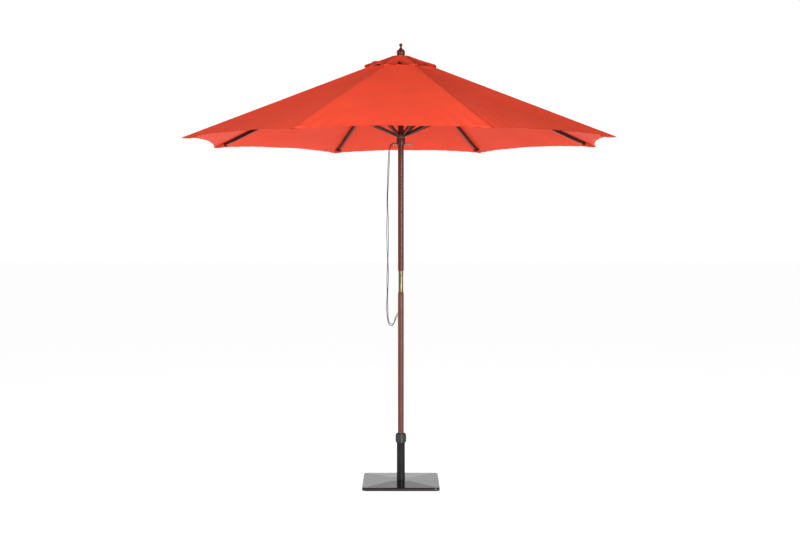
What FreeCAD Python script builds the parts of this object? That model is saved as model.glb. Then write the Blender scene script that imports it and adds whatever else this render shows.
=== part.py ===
import FreeCAD, Part
import math
import os

import Sketcher

# Patio umbrella on a square weighted base. Millimetres, +Z up.
# The origin is on the floor, on the axis of the mast. The front of the base faces -Y.
# The canopy has eight ribs. Rib 1 points to the front right, and they run counterclockwise.

SIZES = {
    # base
    "base_width": 465, "base_corner": 30, "base_seam_z": 12, "base_edge_z": 22,
    "base_peak_z": 28, "edge_round": 7, "sheet_steel": 2, "foot_height": 3, "foot_radius": 18,
    "foot_spacing": 380, "tube_radius": 25, "tube_wall": 2.5, "tube_top_z": 284,
    "plug_top_z": 34, "peak_width": 110,
    # twist collar and the bush under it
    "collar_bottom_z": 254, "collar_top_z": 310, "collar_radius": 31.2, "collar_rib": 2.0,
    "collar_ribs": 16, "bush_gap": 0.05,
    # mast
    "pole_radius": 18, "lower_pole_top_z": 1166, "upper_pole_bottom_z": 1303, "mast_top_z": 2613,
    "sleeve_radius": 14.5, "sleeve_wall": 3, "sleeve_depth": 80, "spigot_depth": 78,
    "fit": 0.05, "pulley_z": 2400, "pulley_radius": 15, "pulley_width": 6,
    # fold mechanism
    "canopy_turn": -2.2, "pitch": 21.8, "pivot_radius": 27, "crown_pivot_z": 2600,
    "rib_rise": 0.5, "rib_length": 1360, "rib_width": 12, "rib_height": 20,
    "knuckle_drop": 15, "knuckle_along": 596, "knuckle_gap": 7,
    "strut_width": 10, "strut_height": 17, "tongue_width": 6.4, "rivet_radius": 2.5,
    "wire_radius": 1.1, "hub_radius": 31, "runner_radius": 26.5, "fold_travel": 62,
    # canopy
    "canopy_radius": 1350, "canopy_apex_z": 2627, "canopy_thickness": 1.6, "hem_inset": 38,
    "vent_radius": 200, "cap_radius": 242, "cap_apex_z": 2638, "cap_inner": 64, "cap_inset": 8,
    "patch_radius": 57, "finial_height": 77, "finial_radius": 26,
    # locking pin and pull cord
    "lock_radius": 2.5, "lock_offset": 22.2, "lock_z": 2078, "cord_radius": 2.1,
}

doc = FreeCAD.newDocument("PatioUmbrella")
sheet = doc.addObject("Spreadsheet::Sheet", "Dims")
for row, (alias, number) in enumerate(SIZES.items(), start=1):
    sheet.set(f"A{row}", alias)
    sheet.set(f"B{row}", str(number))
    sheet.setAlias(f"B{row}", alias)
doc.recompute()


class Size:
    """A number together with the sheet expression that gives it."""

    def __init__(self, value, text):
        self.value = value
        self.text = text

    def __add__(self, other):
        other = as_size(other)
        return Size(self.value + other.value, f"({self.text} + {other.text})")

    def __sub__(self, other):
        other = as_size(other)
        return Size(self.value - other.value, f"({self.text} - {other.text})")

    def __mul__(self, other):
        other = as_size(other)
        return Size(self.value * other.value, f"({self.text} * {other.text})")

    def __neg__(self):
        return Size(-self.value, f"(0 - {self.text})")


def as_size(number):
    return number if isinstance(number, Size) else Size(float(number), f"({number})")


class Dims:
    """The sheet's cells by name."""


for alias in SIZES:
    setattr(Dims, alias, Size(float(sheet.get(alias)), f"Dims.{alias}"))

nodes = {}


def node(name, obj):
    """Gives a finished sub-part its label and lists it for export."""
    obj.Label = name
    nodes[name] = obj
    return obj


def bind(obj, **sizes):
    for prop, size in sizes.items():
        size = as_size(size)
        setattr(obj, prop, size.value)
        obj.setExpression(prop, size.text)


def stand_at(obj, x=0, y=0, z=0):
    for letter, size in (("x", x), ("y", y), ("z", z)):
        obj.setExpression(f"Placement.Base.{letter}", as_size(size).text)
    return obj


def cylinder(name, radius, bottom, top, x=0, y=0):
    obj = doc.addObject("Part::Cylinder", name)
    bind(obj, Radius=radius, Height=as_size(top) - bottom)
    return stand_at(obj, x, y, bottom)


def cross_cylinder(name, radius, length, direction, centre):
    """A cylinder centred on a point, along a horizontal or any other direction."""
    obj = doc.addObject("Part::Cylinder", name)
    bind(obj, Radius=radius, Height=length)
    along = FreeCAD.Vector(*direction).normalize()
    start = FreeCAD.Vector(*centre) - along * (obj.Height.Value / 2)
    obj.Placement = FreeCAD.Placement(start, FreeCAD.Rotation(FreeCAD.Vector(0, 0, 1), along))
    return obj


def cut(name, base, *tools):
    obj = doc.addObject("Part::Cut", name)
    obj.Base = base
    obj.Tool = tools[0] if len(tools) == 1 else fuse(name + "_tools", *tools)
    return obj


def fuse(name, *shapes):
    obj = doc.addObject("Part::MultiFuse", name)
    obj.Shapes = list(shapes)
    return obj


def origin_part(body, role):
    return [f for f in body.Origin.OriginFeatures if f.Role == role][0]


def outline(body, name, plane, points, arcs=None, circles=()):
    """A closed sketch through points. arcs maps a side's number to its radius, which is
    positive where the side bulges to the right of its direction. circles are (x, y, radius)."""
    sketch = body.newObject("Sketcher::SketchObject", name)
    sketch.AttachmentSupport = [(origin_part(body, plane), "")]
    sketch.MapMode = "FlatFace"
    arcs = arcs or {}
    spots = [(as_size(x), as_size(y)) for x, y in points]
    count = len(spots)
    for i in range(count):
        x1, y1 = spots[i][0].value, spots[i][1].value
        x2, y2 = spots[(i + 1) % count][0].value, spots[(i + 1) % count][1].value
        start, end = FreeCAD.Vector(x1, y1, 0), FreeCAD.Vector(x2, y2, 0)
        if i in arcs:
            radius = as_size(arcs[i]).value
            chord = end - start
            right = FreeCAD.Vector(chord.y, -chord.x, 0).normalize()
            half = chord.Length / 2
            sagitta = abs(radius) - math.sqrt(max(radius**2 - half**2, 0))
            middle = (start + end) * 0.5 + right * math.copysign(sagitta, radius)
            sketch.addGeometry(Part.Arc(start, middle, end), False)
        else:
            sketch.addGeometry(Part.LineSegment(start, end), False)
    ends = []
    for i in range(count):
        begin = sketch.getPoint(i, 1)
        want = FreeCAD.Vector(spots[i][0].value, spots[i][1].value, 0)
        ends.append((1, 2) if (begin - want).Length < 1e-6 else (2, 1))
    for i in range(count):
        after = (i + 1) % count
        sketch.addConstraint(Sketcher.Constraint("Coincident", i, ends[i][1], after, ends[after][0]))
    for i, (x, y) in enumerate(spots):
        for kind, size in (("DistanceX", x), ("DistanceY", y)):
            where = sketch.addConstraint(Sketcher.Constraint(kind, i, ends[i][0], size.value))
            if not size.text.startswith("(") or "Dims" in size.text:
                sketch.setExpression(f"Constraints[{where}]", size.text)
    for i, radius in arcs.items():
        radius = as_size(radius)
        where = sketch.addConstraint(Sketcher.Constraint("Radius", i, abs(radius.value)))
        if "Dims" in radius.text and radius.value > 0:
            sketch.setExpression(f"Constraints[{where}]", radius.text)
    for x, y, radius in circles:
        x, y, radius = as_size(x), as_size(y), as_size(radius)
        middle = FreeCAD.Vector(x.value, y.value, 0)
        circle = sketch.addGeometry(Part.Circle(middle, FreeCAD.Vector(0, 0, 1), radius.value), False)
        for kind, size in (("DistanceX", x), ("DistanceY", y)):
            where = sketch.addConstraint(Sketcher.Constraint(kind, circle, 3, size.value))
            if "Dims" in size.text:
                sketch.setExpression(f"Constraints[{where}]", size.text)
        where = sketch.addConstraint(Sketcher.Constraint("Radius", circle, radius.value))
        if "Dims" in radius.text:
            sketch.setExpression(f"Constraints[{where}]", radius.text)
    return sketch


def turned(name, points, arcs=None):
    """A piece turned about the Z axis, from its profile in the XZ plane."""
    body = doc.addObject("PartDesign::Body", name)
    sketch = outline(body, name + "_profile", "XZ_Plane", points, arcs)
    turn = body.newObject("PartDesign::Revolution", name + "_turn")
    turn.Profile = sketch
    turn.ReferenceAxis = (sketch, ["V_Axis"])
    turn.Angle = 360
    return body


def pad(body, name, sketch, length, symmetric=False):
    feature = body.newObject("PartDesign::Pad", name)
    feature.Profile = sketch
    bind(feature, Length=length)
    feature.SideType = "Symmetric" if symmetric else "One side"
    return feature


def pocket(body, name, sketch, length):
    feature = body.newObject("PartDesign::Pocket", name)
    feature.Profile = sketch
    bind(feature, Length=length)
    feature.SideType = "Symmetric"
    return feature


def rounded_square(half, corner):
    """The points and corner arcs of a square with round corners, counterclockwise."""
    near = half - corner
    points = [(-near, -half), (near, -half), (half, -near), (half, near)]
    points += [(near, half), (-near, half), (-half, near), (-half, -near)]
    return points, {1: corner, 3: corner, 5: corner, 7: corner}


def square_slab(name, half, corner, bottom, top, round_top=None):
    """A slab with round corners, and with its top edge rounded where round_top is given."""
    body = doc.addObject("PartDesign::Body", name)
    points, arcs = rounded_square(half, corner)
    sketch = outline(body, name + "_outline", "XY_Plane", points, arcs)
    feature = pad(body, name + "_pad", sketch, as_size(top) - bottom)
    if round_top is not None:
        doc.recompute()
        height = feature.Shape.BoundBox.ZMax
        edges = feature.Shape.Edges
        rim = [f"Edge{i}" for i, e in enumerate(edges, start=1) if e.BoundBox.ZMin > height - 0.01]
        fillet = body.newObject("PartDesign::Fillet", name + "_round")
        fillet.Base = (feature, rim)
        bind(fillet, Radius=round_top)
    return stand_at(body, 0, 0, bottom)


def low_pyramid(name, wide, narrow, bottom, top):
    """A flat-topped pyramid on a square base of half width wide."""
    obj = doc.addObject("Part::Wedge", name)
    bind(obj, Xmin=-wide, Xmax=wide, Zmin=-wide, Zmax=wide, Ymin=0, Ymax=as_size(top) - bottom)
    bind(obj, X2min=-narrow, X2max=narrow, Z2min=-narrow, Z2max=narrow)
    obj.Placement.Rotation = FreeCAD.Rotation(FreeCAD.Vector(1, 0, 0), 90)
    return stand_at(obj, 0, 0, bottom)


d = Dims

# ---- base -----------------------------------------------------------------
half_base = d.base_width * 0.5
inner_half = half_base - d.sheet_steel
inner_corner = d.base_corner - d.sheet_steel
slope_half = half_base - d.edge_round
peak_half = d.peak_width * 0.5

pan_outer = square_slab("pan_outer", half_base, d.base_corner, d.foot_height, d.base_seam_z)
pan_floor_z = d.foot_height + d.sheet_steel
pan_inner = square_slab("pan_inner", inner_half, inner_corner, pan_floor_z, d.base_seam_z + 1)
pan_hole = cylinder("pan_hole", 5.3, 0, 10)
node("base_pan", cut("base_pan_body", pan_outer, pan_inner, pan_hole))

cover_block = square_slab(
    "cover_block", half_base, d.base_corner, d.base_seam_z + 0.4, d.base_edge_z, d.edge_round
)
cover_slope = low_pyramid("cover_slope", slope_half, peak_half, d.base_edge_z - 0.2, d.base_peak_z)
cover_room = square_slab(
    "cover_room", inner_half, inner_corner, d.base_seam_z - 1, d.base_edge_z - d.sheet_steel,
    d.edge_round - d.sheet_steel,
)
room_slope = low_pyramid(
    "room_slope", slope_half, peak_half, d.base_edge_z - d.sheet_steel - 0.2,
    d.base_peak_z - d.sheet_steel,
)
cover_hole = cylinder("cover_hole", d.tube_radius, d.base_seam_z, d.base_peak_z + 5)
cover_shell = fuse("cover_shell", cover_block, cover_slope)
cover_cavity = fuse("cover_cavity", cover_room, room_slope)
node("base_cover", cut("base_cover_body", cover_shell, cover_cavity, cover_hole))

weight_half = inner_half - 1
weight_corner = inner_corner - 1
weight_block = square_slab(
    "weight_block", weight_half, weight_corner, pan_floor_z, d.base_edge_z - d.sheet_steel - 0.3,
    d.edge_round - d.sheet_steel,
)
weight_slope = low_pyramid(
    "weight_slope", slope_half - 2, peak_half, d.base_edge_z - d.sheet_steel - 0.5,
    d.base_peak_z - d.sheet_steel - 0.3,
)
weight_hole = cylinder("weight_hole", d.tube_radius, pan_floor_z + 4, d.base_peak_z + 5)
weight_bolt_hole = cylinder("weight_bolt_hole", 5.3, 0, d.base_peak_z)
weight_solid = fuse("weight_solid", weight_block, weight_slope)
node("base_weight", cut("base_weight_body", weight_solid, weight_hole, weight_bolt_hole))

foot_place = d.foot_spacing * 0.5
feet = []
for i, (sx, sy) in enumerate(((1, 1), (-1, 1), (-1, -1), (1, -1)), start=1):
    feet.append(cylinder(f"foot_{i}", d.foot_radius, 0, d.foot_height, foot_place * sx, foot_place * sy))
feet_group = doc.addObject("Part::Compound", "feet_group")
feet_group.Links = feet
node("base_feet", feet_group)

tube_bottom = pan_floor_z + 4
tube_inner = d.tube_radius - d.tube_wall
tube_outer_body = cylinder("tube_outer", d.tube_radius, tube_bottom, d.tube_top_z)
tube_bore = cylinder("tube_bore", tube_inner, tube_bottom - 1, d.tube_top_z + 1)
node("base_tube", cut("base_tube_body", tube_outer_body, tube_bore))

plug_body = cylinder("plug_body", tube_inner, tube_bottom, d.plug_top_z)
plug_thread = cylinder("plug_thread", 5, tube_bottom - 1, d.plug_top_z + 1)
node("tube_plug", cut("tube_plug_body", plug_body, plug_thread))

bolt_shank = cylinder("bolt_shank", 5, d.foot_height - 1, d.plug_top_z - 3)
bolt_head = cylinder("bolt_head", 11, 0.7, d.foot_height)
bolt_socket = doc.addObject("Part::Prism", "bolt_socket")
bolt_socket.Polygon = 6
bind(bolt_socket, Circumradius=4, Height=1.6)
stand_at(bolt_socket, 0, 0, 0.2)
bolt_solid = fuse("bolt_solid", bolt_shank, bolt_head)
node("base_bolt", cut("base_bolt_body", bolt_solid, bolt_socket))

# ---- bush and twist collar ------------------------------------------------
bush_bore = d.pole_radius + d.bush_gap
bush_outer = tube_inner - 0.05
bush_profile = [
    (bush_bore, d.tube_top_z - 84),
    (bush_outer, d.tube_top_z - 84),
    (bush_outer, d.tube_top_z),
    (d.tube_radius, d.tube_top_z),
    (d.tube_radius, d.tube_top_z + 13),
    (bush_bore + 2.2, d.tube_top_z + 19),
    (bush_bore, d.tube_top_z + 19),
]
bush_turned = turned("bush_turned", bush_profile)
bush_split = doc.addObject("Part::Box", "bush_split")
bind(bush_split, Length=30, Width=2.4, Height=50)
stand_at(bush_split, 0, -1.2, d.tube_top_z - 30)
node("collet", cut("collet_body", bush_turned, bush_split))

collar_room = d.tube_radius + 0.4
collar_bottom = d.collar_bottom_z
collar_top = d.collar_top_z
collar_mouth = d.pole_radius + 0.6
collar = turned(
    "clamp_collar_body",
    [
        (collar_room, collar_bottom),
        (d.collar_radius - 1.5, collar_bottom),
        (d.collar_radius, collar_bottom + 1.5),
        (d.collar_radius - 1.0, collar_top - 5),
        (d.collar_radius - 5.0, collar_top - 0.8),
        (d.collar_radius - 7.0, collar_top),
        (collar_mouth, collar_top),
        (collar_mouth, collar_top - 4),
        (collar_mouth + 3, collar_top - 6),
        (collar_room, collar_top - 12),
    ],
    {3: 5.6},
)
collar_grip = outline(
    collar, "collar_grip", "XY_Plane",
    [(d.collar_radius - 2, -2.2), (d.collar_radius + 0.6, -2.2), (d.collar_radius + 0.6, 2.2),
     (d.collar_radius - 2, 2.2)],
    {1: 3.0},
)
collar_grip.AttachmentOffset = FreeCAD.Placement(
    FreeCAD.Vector(0, 0, d.collar_bottom_z.value + 5), FreeCAD.Rotation()
)
grip_pad = pad(collar, "collar_grip_pad", collar_grip, collar_top - collar_bottom - 14)
grips = collar.newObject("PartDesign::PolarPattern", "collar_grips")
grips.Originals = [grip_pad]
grips.Axis = (origin_part(collar, "Z_Axis"), [""])
grips.Angle = 360
grips.Occurrences = int(d.collar_ribs.value)
collar.Tip = grips
node("clamp_collar", collar)

# ---- mast -----------------------------------------------------------------
chamfer = 2.5
sleeve_bottom = d.lower_pole_top_z - d.sleeve_depth
lower_profile = [
    (0, d.plug_top_z),
    (d.pole_radius - chamfer, d.plug_top_z),
    (d.pole_radius, d.plug_top_z + chamfer),
    (d.pole_radius, d.lower_pole_top_z - chamfer),
    (d.pole_radius - chamfer, d.lower_pole_top_z),
    (d.sleeve_radius, d.lower_pole_top_z),
    (d.sleeve_radius, sleeve_bottom),
    (0, sleeve_bottom),
]
node("lower_pole", turned("lower_pole_body", lower_profile))

sleeve_bore = d.sleeve_radius - d.sleeve_wall
sleeve_top = d.upper_pole_bottom_z - 0.5
ring_radius = d.pole_radius - 0.8
sleeve_profile = [
    (sleeve_bore, sleeve_bottom),
    (d.sleeve_radius, sleeve_bottom),
    (d.sleeve_radius, d.lower_pole_top_z),
    (ring_radius - 1.2, d.lower_pole_top_z),
    (ring_radius, d.lower_pole_top_z + 2.5),
    (ring_radius - 1.2, d.lower_pole_top_z + 5),
    (d.sleeve_radius, d.lower_pole_top_z + 7),
    (d.sleeve_radius, sleeve_top),
    (sleeve_bore, sleeve_top),
]
sleeve_turned = turned("sleeve_turned", sleeve_profile, {3: 3.4, 4: 3.4})
pin_z = d.lower_pole_top_z.value + 108
sleeve_pin_hole = cross_cylinder("sleeve_pin_hole", 2.0, 10, (0, -1, 0), (1.5, -14, pin_z))
node("coupling_sleeve", cut("coupling_sleeve_body", sleeve_turned, sleeve_pin_hole))
pin_shank = cross_cylinder("sleeve_pin_shank", 2.0, 2.4, (0, -1, 0), (1.5, -13.3, pin_z))
pin_head = doc.addObject("Part::Sphere", "sleeve_pin_head")
bind(pin_head, Radius=3.2)
pin_head.Placement.Base = FreeCAD.Vector(1.5, -13.0, pin_z)
pin_trim = cross_cylinder("sleeve_pin_trim", 14.52, 20, (0, 0, 1), (0, 0, pin_z))
pin_dome = cut("sleeve_pin_dome", pin_head, pin_trim)
node("sleeve_pin", fuse("sleeve_pin_body", pin_dome, pin_shank))

spigot_radius = sleeve_bore - d.fit
spigot_top = d.upper_pole_bottom_z + d.spigot_depth
upper_profile = [
    (0, spigot_top),
    (spigot_radius, spigot_top),
    (spigot_radius, d.upper_pole_bottom_z),
    (d.pole_radius - chamfer, d.upper_pole_bottom_z),
    (d.pole_radius, d.upper_pole_bottom_z + chamfer),
    (d.pole_radius, d.mast_top_z),
    (0, d.mast_top_z),
]
upper_turned = turned("upper_turned", upper_profile)
pulley_slot = doc.addObject("Part::Box", "pulley_slot")
bind(pulley_slot, Length=60, Width=d.pulley_width + 2, Height=46)
stand_at(pulley_slot, -30, -(d.pulley_width * 0.5 + 1), d.pulley_z - 23)
axle_hole = cross_cylinder("axle_hole", 2.5, 60, (0, 1, 0), (0, 0, d.pulley_z.value))
stud_hole = cylinder("stud_hole", 3, d.mast_top_z - 40, d.mast_top_z + 1)
node("upper_pole", cut("upper_pole_body", upper_turned, pulley_slot, axle_hole, stud_hole))

spigot_profile = [
    (0, d.upper_pole_bottom_z - d.spigot_depth),
    (spigot_radius - 1.5, d.upper_pole_bottom_z - d.spigot_depth),
    (spigot_radius, d.upper_pole_bottom_z - d.spigot_depth + 1.5),
    (spigot_radius, spigot_top),
    (0, spigot_top),
]
node("coupling_spigot", turned("coupling_spigot_body", spigot_profile))

axle = cross_cylinder("pulley_axle_body", 2.5, 35, (0, 1, 0), (0, 0, d.pulley_z.value))
node("pulley_axle", axle)

half_wheel = d.pulley_width * 0.5
wheel = turned(
    "pulley_wheel_body",
    [
        (2.55, -half_wheel),
        (d.pulley_radius, -half_wheel),
        (d.pulley_radius, -half_wheel + 0.6),
        (d.pulley_radius, half_wheel - 0.6),
        (d.pulley_radius, half_wheel),
        (2.55, half_wheel),
    ],
    {2: -2.6},
)
wheel.Placement = FreeCAD.Placement(
    FreeCAD.Vector(0, 0, d.pulley_z.value), FreeCAD.Rotation(FreeCAD.Vector(1, 0, 0), 90)
)
node("pulley_wheel", wheel)

# ---- the crown, and the runner that slides under it ------------------------
first_rib = -90 + 22.5 + d.canopy_turn.value
rib_angles = [first_rib + 45 * i for i in range(8)]
pitch = math.radians(d.pitch.value)
below = d.knuckle_drop.value - d.rib_rise.value
arm = math.hypot(d.knuckle_along.value, below)
arm_angle = math.pi / 2 - pitch - math.atan2(below, d.knuckle_along.value)
runner_pivot_z = d.crown_pivot_z.value - 2 * arm * math.cos(arm_angle)
print("pivot to pivot", round(arm, 4), "mm; runner pivot z", round(runner_pivot_z, 4))
print("arm angle open", round(math.degrees(arm_angle), 4), "degrees from the mast")


def radial_slots(name, inner, bottom, top, width):
    """Eight boxes, one along each rib, that open outwards."""
    slots = []
    for i, angle in enumerate(rib_angles, start=1):
        slot = doc.addObject("Part::Box", f"{name}_{i}")
        bind(slot, Length=60, Width=width, Height=top - bottom)
        turn = FreeCAD.Rotation(FreeCAD.Vector(0, 0, 1), angle)
        corner = turn.multVec(FreeCAD.Vector(inner, -as_size(width).value / 2, 0))
        corner.z = bottom
        slot.Placement = FreeCAD.Placement(corner, turn)
        slots.append(slot)
    return slots


slot_inner = d.pivot_radius.value - 7.6
crown_z = d.crown_pivot_z
crown_turned = turned(
    "crown_turned",
    [
        (d.pole_radius, crown_z - 16),
        (d.hub_radius - 4, crown_z - 16),
        (d.hub_radius, crown_z - 12),
        (d.hub_radius, crown_z + 7),
        (d.hub_radius + 2.5, crown_z + 9.5),
        (d.patch_radius - 5, crown_z + 9.5),
        (d.patch_radius - 3.5, crown_z + 11),
        (d.patch_radius - 5, d.mast_top_z),
        (d.pole_radius, d.mast_top_z),
    ],
    {2: 220, 3: -2.8},
)
crown_slots = radial_slots(
    "crown_slot", slot_inner, crown_z.value - 20, crown_z.value + 8.6, d.rib_width + 0.6
)
wire_room = doc.addObject("Part::Torus", "crown_wire_room")
bind(wire_room, Radius1=d.pivot_radius, Radius2=d.wire_radius)
stand_at(wire_room, 0, 0, crown_z)
node("crown_hub", cut("crown_hub_body", crown_turned, wire_room, *crown_slots))
crown_wire = doc.addObject("Part::Torus", "crown_wire_body")
bind(crown_wire, Radius1=d.pivot_radius, Radius2=d.wire_radius)
node("crown_wire", stand_at(crown_wire, 0, 0, crown_z))

r0 = d.runner_radius
zr = runner_pivot_z
runner_bore = d.pole_radius + d.fit
runner_turned = turned(
    "runner_turned",
    [
        (runner_bore, zr - 58),
        (r0 - 3, zr - 58),
        (r0, zr - 54),
        (r0 + 0.3, zr - 37),
        (r0 - 0.9, zr - 35.5),
        (r0 + 0.3, zr - 34),
        (r0, zr - 11),
        (r0 + 1.7, zr - 8.5),
        (r0 + 1.7, zr + 6),
        (r0 - 2.5, zr + 14),
        (runner_bore, zr + 14),
    ],
    {1: 4.2, 3: -1.6, 4: -1.6, 8: 9},
)
runner_slots = radial_slots("runner_slot", slot_inner, zr - 8, zr + 30, d.strut_width + 0.6)
runner_wire_room = doc.addObject("Part::Torus", "runner_wire_room")
bind(runner_wire_room, Radius1=d.pivot_radius, Radius2=d.wire_radius)
stand_at(runner_wire_room, 0, 0, zr)
lock_hole = cross_cylinder(
    "lock_hole", d.lock_radius + d.fit, 120, (1, 0, 0), (0, d.lock_offset.value, d.lock_z.value)
)
cord_front = cross_cylinder("cord_hole_front", d.cord_radius + 1, 16, (1, 0, 0), (-28, -3, 2083))
cord_back = cross_cylinder("cord_hole_back", d.cord_radius + 1, 16, (1, 0, 0), (-28, 5, 2083))
node(
    "runner",
    cut("runner_body", runner_turned, runner_wire_room, lock_hole, cord_front, cord_back, *runner_slots),
)
runner_wire = doc.addObject("Part::Torus", "runner_wire_body")
bind(runner_wire, Radius1=d.pivot_radius, Radius2=d.wire_radius)
node("runner_wire", stand_at(runner_wire, 0, 0, zr))

# ---- finial and the patch it clamps ----------------------------------------
patch_top = d.mast_top_z + 2.5
patch_body = cylinder("patch_body", d.patch_radius, d.mast_top_z, patch_top)
patch_hole = cylinder("patch_hole", 3.2, d.mast_top_z - 1, patch_top + 1)
node("top_patch", cut("top_patch_body", patch_body, patch_hole))
washer_top = patch_top + 2.5
washer_profile = [
    (3.2, patch_top),
    (23, patch_top),
    (23, patch_top + 0.8),
    (21.5, washer_top),
    (3.2, washer_top),
]
node("finial_washer", turned("finial_washer_body", washer_profile))
tall = d.finial_height
widest = d.finial_radius
ball = tall * (3 / 22)
finial_profile = [
    (0, washer_top),
    (widest * 0.76, washer_top),
    (widest, washer_top + tall * 0.235),
    (widest * 0.5, washer_top + tall * 0.52),
    (widest * 0.23, washer_top + tall * 0.7),
    (ball * 0.6, washer_top + tall - ball * 1.8),
    (ball, washer_top + tall - ball),
    (0, washer_top + tall),
]
finial_turned = turned("finial_turned", finial_profile, {1: 24, 2: 20, 3: -38, 5: ball, 6: ball})
finial_hole = cylinder("finial_hole", 3, washer_top - 1, washer_top + 26)
node("finial", cut("finial_body", finial_turned, finial_hole))
node("finial_stud", cylinder("finial_stud_body", 3, d.mast_top_z - 40, washer_top + 25))

# ---- locking pin, through the runner's lower rim ----------------------------
lock_y = d.lock_offset.value
lock_z = d.lock_z.value
lock_points = [(66, 0), (-44, 0), (-53, 3), (-66, 12)]
lock_corners = [FreeCAD.Vector(x, lock_y, lock_z + up) for x, up in lock_points]


def cord_path(corners, share=0.45):
    """Straight runs joined by tangent arcs, each as large as its two runs allow."""
    edges, radii = [], []
    at = corners[0]
    for before, corner, after in zip(corners, corners[1:], corners[2:]):
        arriving, leaving = corner - before, after - corner
        turn = arriving.getAngle(leaving)
        trim = share * min(arriving.Length, leaving.Length)
        radii.append(trim / math.tan(turn / 2))
        start = corner - arriving.normalize() * trim
        end = corner + leaving.normalize() * trim
        to_start, to_end = start - corner, end - corner
        inward = (to_start + to_end).normalize()
        to_centre = math.hypot(radii[-1], trim)
        middle = corner + inward * (to_centre - radii[-1])
        edges.append(Part.LineSegment(at, start).toShape())
        edges.append(Part.Arc(start, middle, end).toShape())
        at = end
    edges.append(Part.LineSegment(at, corners[-1]).toShape())
    return Part.Wire(edges), radii


def tube_along(corners, radius):
    """A round tube along a path, and its length and radii."""
    path, radii = cord_path(corners)
    heading = corners[1] - corners[0]
    ring = Part.Wire([Part.Circle(corners[0], heading, radius).toShape()])
    return path.makePipeShell([ring], True, False), path.Length, radii


lock_shape, lock_length, lock_radii = tube_along(lock_corners, d.lock_radius.value)
lock_pin = doc.addObject("Part::Feature", "lock_pin_body")
lock_pin.Shape = lock_shape
node("lock_pin", lock_pin)

# ---- pull cord: two strands from the runner's side down to a small bead -----
STRAND_FRONT = [
    (-21, -3, 2083), (-34, -3, 2085), (-49, -3, 2084), (-64, -4, 2073), (-72, -4, 2054),
    (-75, -4, 2028), (-77, -4, 1988), (-79, -5, 1926), (-82, -3, 1864), (-83, -4, 1800),
    (-85, -5, 1737), (-84, -4, 1675), (-85, -2, 1612), (-87, -1, 1549), (-85, 0, 1487),
    (-84, -2, 1425), (-81, -5, 1364), (-83, -3, 1303), (-86, -1, 1242), (-83, -4, 1184),
    (-85, -5, 1130), (-88, -1, 1082), (-85, -4, 1038), (-81, -5, 1006), (-76, -3, 982),
    (-67, 0, 968), (-54, 6, 965), (-44, 13, 976), (-37, 21, 993), (-29, 28, 1011),
    (-20, 34, 1027), (-10, 39, 1036),
]
STRAND_BACK = [
    (-21, 5, 2083), (-33, 5, 2085), (-46, 5, 2083), (-58, 5, 2073), (-65, 5, 2055),
    (-68, 4, 2030), (-70, 4, 1990), (-73, 5, 1927), (-75, 4, 1863), (-79, 5, 1799),
    (-81, 4, 1736), (-79, 5, 1674), (-77, 3, 1611), (-77, 1, 1549), (-75, 2, 1486),
    (-77, 3, 1424), (-80, 4, 1363), (-76, 3, 1302), (-77, 1, 1241), (-80, 4, 1183),
    (-82, 4, 1131), (-80, 2, 1085), (-79, 5, 1045), (-78, 6, 1015), (-75, 7, 994),
    (-67, 10, 980), (-53, 15, 974), (-41, 22, 981), (-38, 28, 1003), (-31, 31, 1023),
    (-22, 37, 1039), (-11, 41, 1045),
]
bead_centre = (-3.5, 44, 1043)
bead_holes = []
for name, strand in (("cord_front", STRAND_FRONT), ("cord_back", STRAND_BACK)):
    corners = [FreeCAD.Vector(*spot) for spot in strand]
    shape, length, radii = tube_along(corners, d.cord_radius.value)
    share = shape.Volume / (math.pi * d.cord_radius.value**2 * length)
    print(name, "length", round(length, 1), "volume share", round(share, 4))
    print(name, "radii", [round(r, 1) for r in radii])
    strand_body = doc.addObject("Part::Feature", name + "_body")
    strand_body.Shape = shape
    node(name, strand_body)
    inward = corners[-1] - corners[-2]
    hole_at = corners[-1]
    bead_holes.append(cross_cylinder(name + "_bead_hole", d.cord_radius + 0.05, 18, inward, hole_at))
    bead_holes[-1].Placement.Base = hole_at - inward.normalize() * 17.95
bead = doc.addObject("Part::Sphere", "bead_ball")
bind(bead, Radius=9)
bead.Placement.Base = FreeCAD.Vector(*bead_centre)
node("cord_bead", cut("cord_bead_body", bead, *bead_holes))

# ---- ribs, struts, rivets and canopy, eight of each -------------------------
rib_end = d.rib_length
top_edge = d.rib_rise + d.rib_height * 0.5
low_edge = d.rib_rise - d.rib_height * 0.5
knuckle_z = d.rib_rise - d.knuckle_drop
wire_hole = d.wire_radius + 0.85
taper = 110


def make_rib(number):
    """A rib along its own X axis, with its crown pivot at the origin."""
    body = doc.addObject("PartDesign::Body", f"rib_{number}_body")
    points = [
        (0, -7),
        (24, low_edge),
        (d.knuckle_along - 19, low_edge),
        (d.knuckle_along - 6.6, knuckle_z - 4.5),
        (d.knuckle_along + 6.6, knuckle_z - 4.5),
        (d.knuckle_along + 19, low_edge),
        (rib_end - taper, low_edge),
        (rib_end - 4, low_edge + 6),
        (rib_end - 4, top_edge),
        (24, top_edge),
        (0, 7),
    ]
    arcs = {3: 8, 7: 7.6, 10: 7.2}
    holes = [(0, 0, wire_hole), (d.knuckle_along, knuckle_z, d.rivet_radius)]
    side = outline(body, f"rib_{number}_side", "XZ_Plane", points, arcs, holes)
    pad(body, f"rib_{number}_stick", side, d.rib_width, symmetric=True)
    fork = outline(
        body, f"rib_{number}_fork", "XZ_Plane",
        [
            (d.knuckle_along - 30, knuckle_z + 7),
            (d.knuckle_along - 30, knuckle_z - 12),
            (d.knuckle_along + 30, knuckle_z - 12),
            (d.knuckle_along + 30, knuckle_z + 7),
        ],
    )
    pocket(body, f"rib_{number}_gap", fork, d.knuckle_gap)
    return body


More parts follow.
